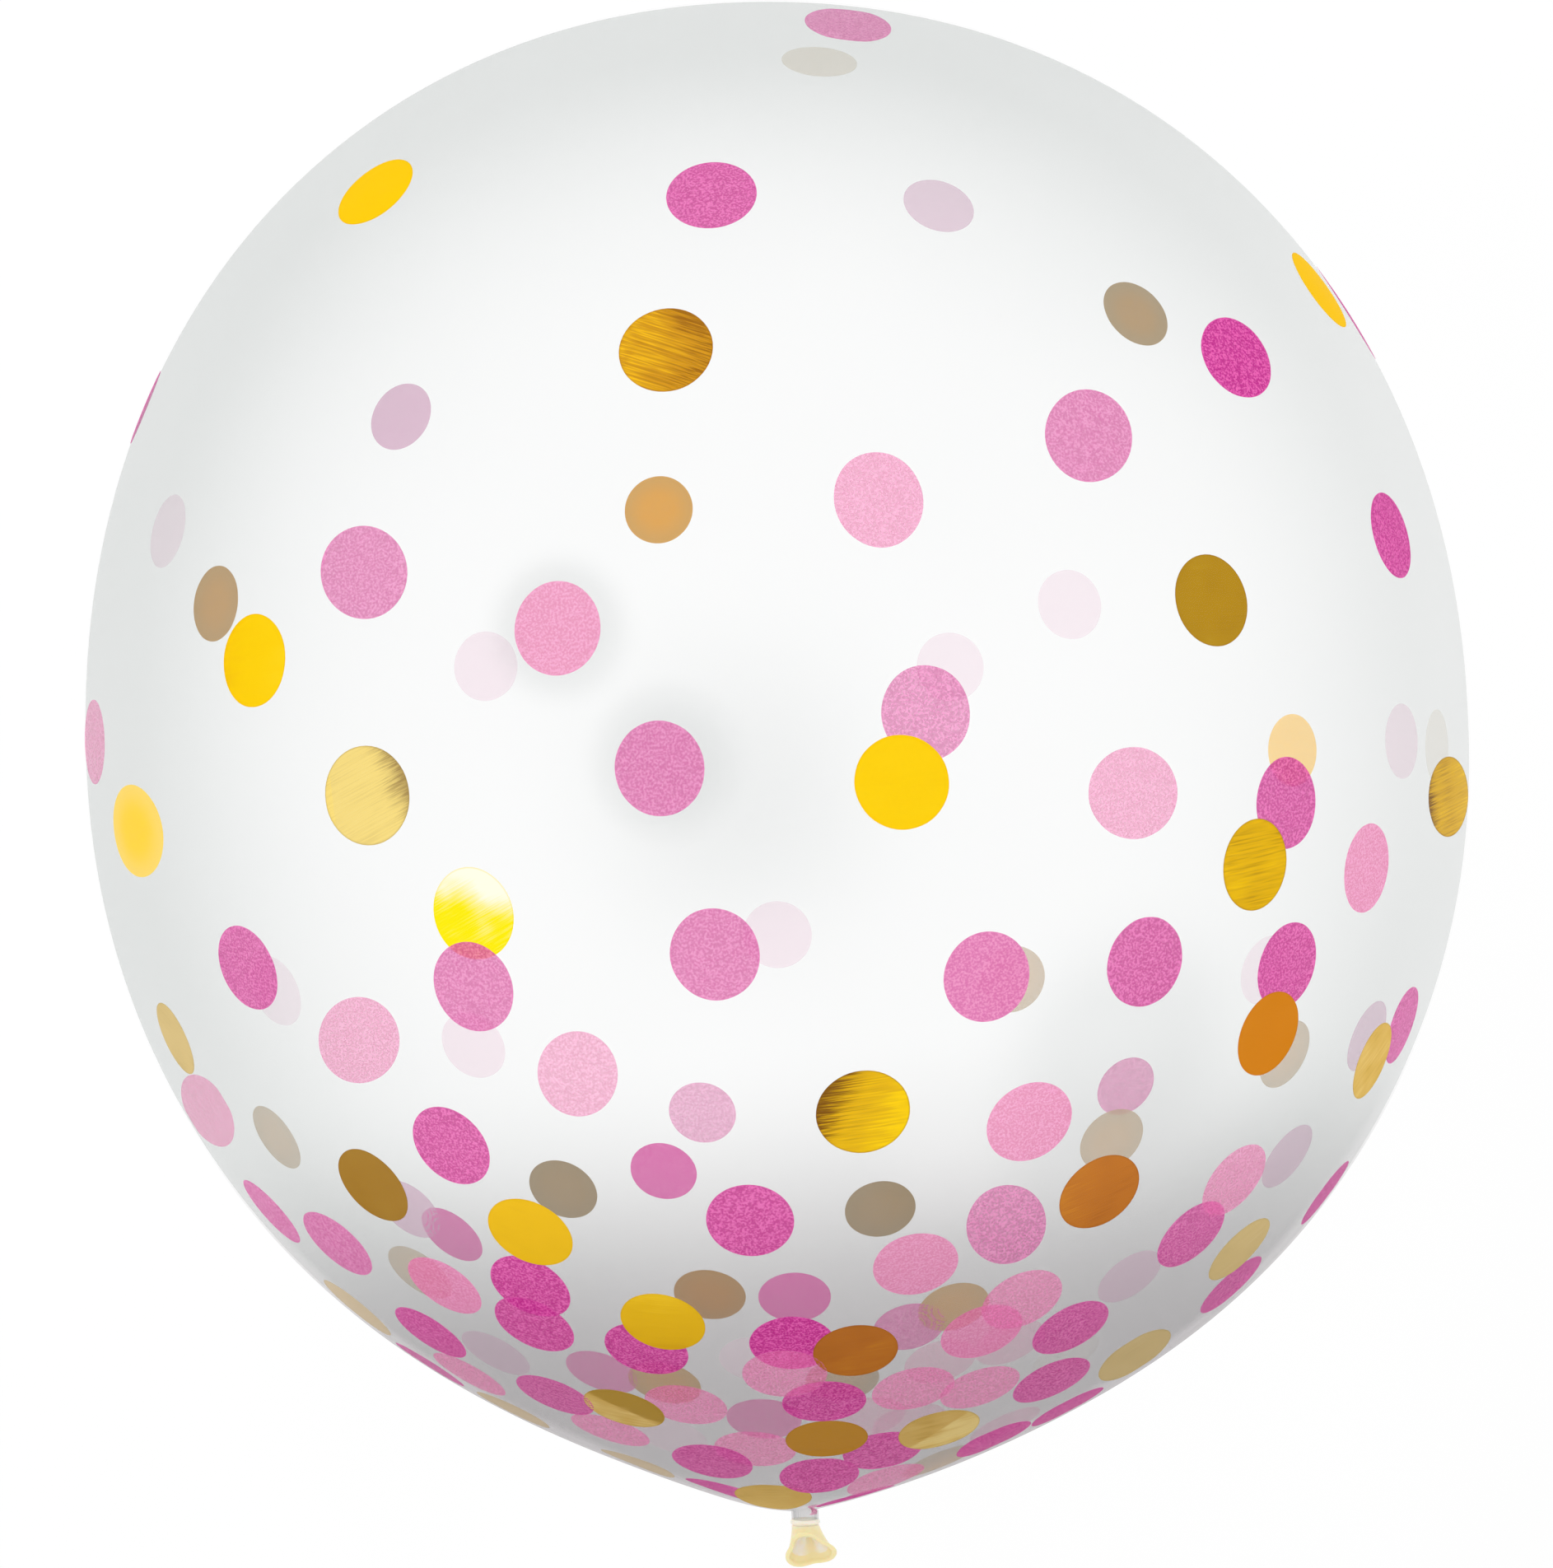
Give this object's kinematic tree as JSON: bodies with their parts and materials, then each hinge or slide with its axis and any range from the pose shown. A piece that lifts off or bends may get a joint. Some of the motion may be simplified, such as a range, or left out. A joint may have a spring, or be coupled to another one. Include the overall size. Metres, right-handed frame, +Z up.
{
  "type": "confetti balloon",
  "caption": "Round clear latex party balloon, blown up and knotted, with round tissue and foil confetti clinging to the inside, lying on its side on a small flat spot.",
  "frame": {"origin": "on the floor, under the middle of the balloon's whole length and width", "axes": "+Z up, +Y from the knot towards the crown, +X to the right as the balloon is seen from above with its crown at the top; the tail beyond the knot curls up towards +Z"},
  "size_m": [0.61, 0.6928, 0.6079],
  "materials": {
    "latex": "clear natural latex, glossy, slightly milky",
    "tissue_magenta": "hot pink tissue paper, matt, fibrous",
    "tissue_orchid": "orchid tissue paper, matt, fibrous",
    "tissue_pink": "light pink tissue paper, matt, fibrous",
    "foil_gold": "gold foil card, brushed, glossy"
  },
  "bodies": {
    "root": {"balloon": "latex"}
  },
  "joints": []
}
